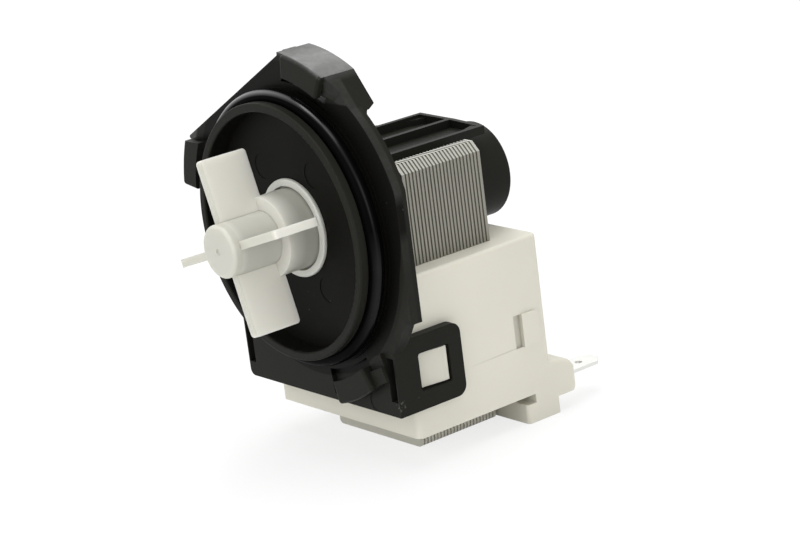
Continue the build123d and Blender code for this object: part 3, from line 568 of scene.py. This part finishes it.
def seal_ring(name, node):
    """The O-ring: a circle carried round the pump's axis. The circle's radius grows by a thin ridge at its outer
    and inner middle, where the halves of its mould met, and the whole ring swells and thins a little."""
    low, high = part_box(node)
    tube = (high[1] - low[1]) / 2
    middle_radius = (high[0] - low[0]) / 2 - tube
    middle_y = (high[1] + low[1]) / 2
    round_axis = np.linspace(0, 2 * math.pi, ring_steps, endpoint=False)[:, None]
    round_tube = np.linspace(0, 2 * math.pi, tube_steps, endpoint=False)[None, :]
    ridge = ridge_height * np.exp(-(np.sin(round_tube) / ridge_width) ** 2)
    swell = swell_height * np.sin(swell_count * round_axis)
    section = tube - ridge_height + ridge - swell_height + swell
    radius = middle_radius + section * np.cos(round_tube)
    y = middle_y - section * np.sin(round_tube)
    points = np.stack([radius * np.cos(round_axis), y, radius * np.sin(round_axis)], axis=-1)
    return closed_surface(name, points, seal_rubber(middle_radius, middle_y, tube))


def wound_sleeve(name, node, finish):
    """A coil of wire: a closed outline in reach and height, carried round a rounded rectangle. The outline's outer
    side is a row of half rounds, one for each turn, and every turn climbs by one pitch on its way round."""
    low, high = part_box(node)
    plain_wall = sleeve_wall - wire_pitch / 2    # the wall's thickness without the half rounds

    # The outline: out along the bottom, up over the turns, back along the top and down the inner wall
    turns = int((high[2] - low[2]) / wire_pitch)
    step = np.linspace(-1, 1, turn_points + 1)[:-1]
    half_rounds = np.tile(np.sqrt(1 - step ** 2), turns) * wire_pitch / 2
    turn_height = low[2] + wire_pitch * (np.arange(len(half_rounds)) / turn_points - 1)
    across = np.linspace(0, plain_wall, end_points)
    down = np.linspace(high[2], low[2], wall_points + 2)[1:-1]
    reach = np.concatenate([across, plain_wall + half_rounds, across[::-1], 0 * down])
    height = np.concatenate([0 * across + low[2] - wire_pitch, turn_height, 0 * across + high[2], down])

    # The way round: four quarter circles, each in its corner of the rectangle
    middle = [(low[axis] + high[axis]) / 2 for axis in (0, 1)]
    half = [(high[axis] - low[axis]) / 2 - sleeve_wall - sleeve_corner for axis in (0, 1)]
    quarters = [np.linspace(quarter, quarter + 1, corner_points) for quarter in range(4)]
    angle = np.concatenate(quarters) * math.pi / 2
    corner = np.repeat([(1, 1), (-1, 1), (-1, -1), (1, -1)], corner_points, axis=0)
    out = (sleeve_corner + reach)[None, :]
    x = middle[0] + (corner[:, 0] * half[0])[:, None] + out * np.cos(angle)[:, None]
    y = middle[1] + (corner[:, 1] * half[1])[:, None] + out * np.sin(angle)[:, None]
    climb = wire_pitch * angle[:, None] / (2 * math.pi)
    z = np.clip(height[None, :] + climb, low[2], high[2])
    return closed_surface(name, np.stack([x, y, z], axis=-1), finish)


def add_pieces():
    """The seal and the two coils, which stand for their plain solids."""
    seal = seal_ring("seal_ring", "spigot_seal")
    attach(seal, "pump_body")
    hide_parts("spigot_seal")
    finish = wound_wire()
    for side in ("left", "right"):
        coil = wound_sleeve("coil_" + side, "winding_" + side, finish)
        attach(coil, "pump_body")
        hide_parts("winding_" + side)


def look_axes(azimuth, elevation, roll):
    """The camera's right, up and backward directions: azimuth 0 looks along +Y, and roll turns about the view."""
    a = math.radians(azimuth)
    e = math.radians(elevation)
    r = math.radians(roll)
    back = Vector((math.sin(a) * math.cos(e), -math.cos(a) * math.cos(e), math.sin(e)))
    right = Vector((0, 0, 1)).cross(back).normalized()
    up = back.cross(right)
    turned_right = right * math.cos(r) + up * math.sin(r)
    turned_up = up * math.cos(r) - right * math.sin(r)
    return turned_right, turned_up, back


def add_camera():
    """The camera at the photograph's place and angle."""
    data = bpy.data.cameras.new("camera")
    data.lens = camera_lens
    data.sensor_width = sensor_width
    data.sensor_fit = "HORIZONTAL"
    data.clip_start = 0.01
    data.clip_end = 20
    camera = bpy.data.objects.new("camera", data)
    turn = Matrix(look_axes(camera_azimuth, camera_elevation, camera_roll)).transposed().to_4x4()
    camera.matrix_world = Matrix.Translation(camera_place) @ turn
    bpy.context.scene.collection.objects.link(camera)
    bpy.context.scene.camera = camera


def add_lamps():
    """Square soft lamps that face the pump."""
    for name, (place, size, watts) in lamps.items():
        data = bpy.data.lights.new(name, "AREA")
        data.size = size
        data.energy = watts
        lamp = bpy.data.objects.new(name, data)
        lamp.location = place
        lamp.rotation_euler = (Vector(lamp_target) - Vector(place)).to_track_quat("-Z", "Y").to_euler()
        bpy.context.scene.collection.objects.link(lamp)


def white_world(strength):
    """A white background for the camera and for reflections, and a softer grey that lights the pump."""
    world = bpy.data.worlds.new("world")
    graph = Graph(world)
    level = strength + graph.seen_white() * (1 - strength)
    sky = graph.node("ShaderNodeBackground", None, {"Color": (1, 1, 1, 1), "Strength": level})
    graph.end(sky, "ShaderNodeOutputWorld")
    bpy.context.scene.world = world


def floor_paper(share):
    """White paper. This share of what the camera and reflections see is plain white, so its shadows stay faint."""
    graph = material("floor_paper")
    paper = graph.node("ShaderNodeBsdfDiffuse", None, {"Color": (*paper_white, 1)})
    white = graph.node("ShaderNodeEmission", None, {"Color": (1, 1, 1, 1), "Strength": 1.0})
    return graph.end(graph.node("ShaderNodeMixShader", None, {0: graph.seen_white() * share, 1: paper, 2: white}))


def add_floor():
    """A pale floor just under the pump."""
    low, _ = cad_box
    wide = floor_half_width
    z = low[2] - floor_gap
    mesh = bpy.data.meshes.new("floor")
    mesh.from_pydata([(-wide, -wide, z), (wide, -wide, z), (wide, wide, z), (-wide, wide, z)], [], [(0, 1, 2, 3)])
    floor = bpy.data.objects.new("floor", mesh)
    bpy.context.scene.collection.objects.link(floor)
    mesh.materials.append(floor_paper(floor_white_share))


dress_all()
add_pieces()
add_camera()
add_floor()
white_world(world_strength)
add_lamps()
bpy.context.scene.view_settings.view_transform = "Standard"
